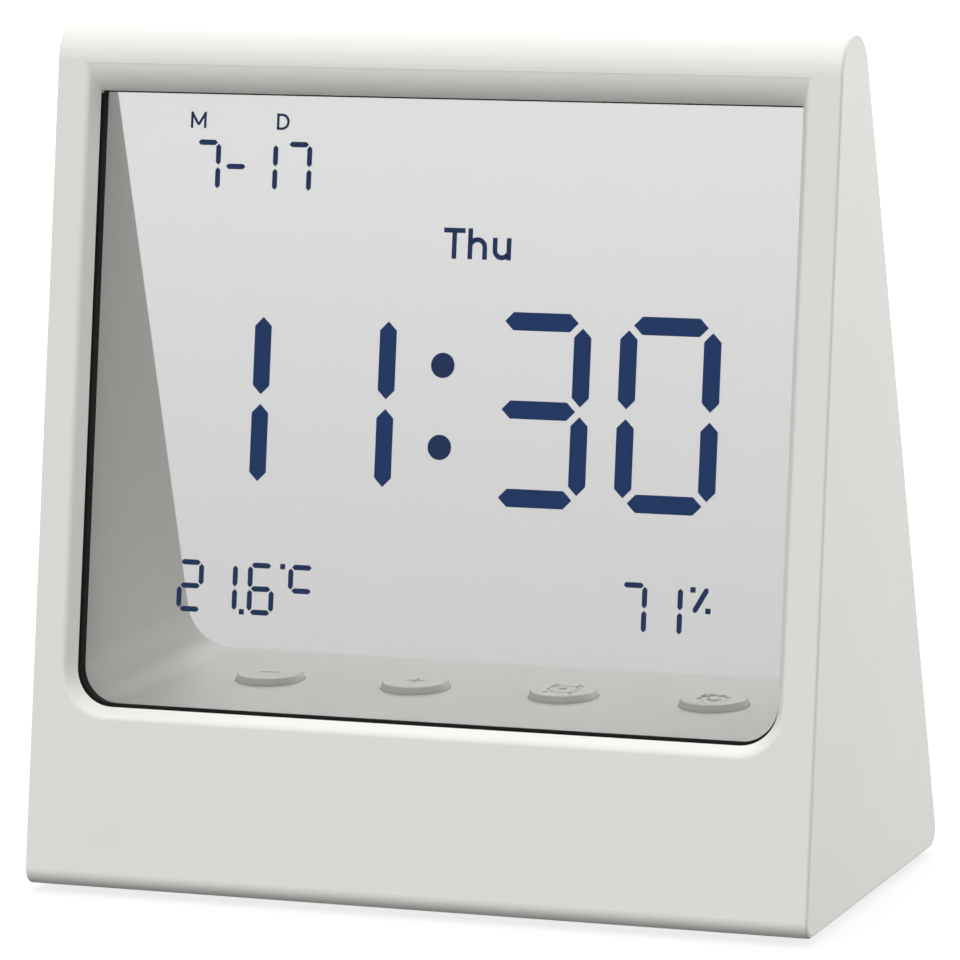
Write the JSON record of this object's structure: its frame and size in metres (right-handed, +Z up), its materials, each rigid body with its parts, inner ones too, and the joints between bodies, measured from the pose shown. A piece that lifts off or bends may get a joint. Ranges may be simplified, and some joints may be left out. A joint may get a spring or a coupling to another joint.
{
  "type": "thermometer hygrometer clock",
  "caption": "See-through table clock: hollow wedge case with a round ridge bar, clear display in the leaning front, open back and round keys on the deck behind the display.",
  "frame": {"origin": "on the table, under the middle of the case", "axes": "+Z up, -Y towards the viewer of the display, +X to the viewer's right"},
  "size_m": [0.115, 0.0576, 0.1195],
  "materials": {
    "case_shell": "fine satin texture, warm white",
    "key_plastic": "satin, warm white",
    "dark_foam": "matt black",
    "display_glass": "clear, polished",
    "polariser_film": "clear film, faint grey tint",
    "ribbon_film": "amber film",
    "circuit_board": "green solder mask",
    "switch_plastic": "black moulded",
    "black_resin": "glossy drop",
    "plated_metal": "nickel plated",
    "cell_sleeve": "plain wrapped sleeve",
    "foot_rubber": "matt dark rubber"
  },
  "bodies": {
    "case": {"front_frame": "case_shell", "side_panel_left": "case_shell", "side_panel_right": "case_shell", "rear_housing": "case_shell", "base_plate": "case_shell", "display_gasket": "dark_foam", "front_polariser": "polariser_film", "front_glass": "display_glass", "rear_glass": "display_glass", "rear_polariser": "polariser_film", "display_ribbon": "ribbon_film", "main_board": "circuit_board", "push_switches": "switch_plastic", "chip_cover": "black_resin", "quartz_crystal": "plated_metal", "buzzer": "switch_plastic", "climate_sensor": "circuit_board", "cell_front": "cell_sleeve", "cell_rear": "cell_sleeve", "contact_plates": "plated_metal", "contact_springs": "plated_metal", "feet": "foot_rubber", "case_screws": "plated_metal", "frame_screws": "plated_metal", "board_screws": "plated_metal", "sensor_ribbon": "ribbon_film"},
    "minus_key": {"key_minus": "key_plastic"},
    "plus_key": {"key_plus": "key_plastic"},
    "alarm_key": {"key_alarm": "key_plastic"},
    "settings_key": {"key_settings": "key_plastic"},
    "door": {"battery_door": "case_shell"}
  },
  "joints": [
    {"name": "minus_press", "type": "slide", "parent": "case", "child": "minus_key", "axis": [0, 0, -1], "range_m": [0, 0.0005], "stiffness_N_per_m": 1500, "springref_m": -0.0003},
    {"name": "plus_press", "type": "slide", "parent": "case", "child": "plus_key", "axis": [0, 0, -1], "range_m": [0, 0.0005], "stiffness_N_per_m": 1500, "springref_m": -0.0003},
    {"name": "alarm_press", "type": "slide", "parent": "case", "child": "alarm_key", "axis": [0, 0, -1], "range_m": [0, 0.0005], "stiffness_N_per_m": 1500, "springref_m": -0.0003},
    {"name": "settings_press", "type": "slide", "parent": "case", "child": "settings_key", "axis": [0, 0, -1], "range_m": [0, 0.0005], "stiffness_N_per_m": 1500, "springref_m": -0.0003},
    {"name": "door_slide", "type": "slide", "parent": "case", "child": "door", "axis": [0, 1, 0], "range_m": [0, 0.036]}
  ]
}
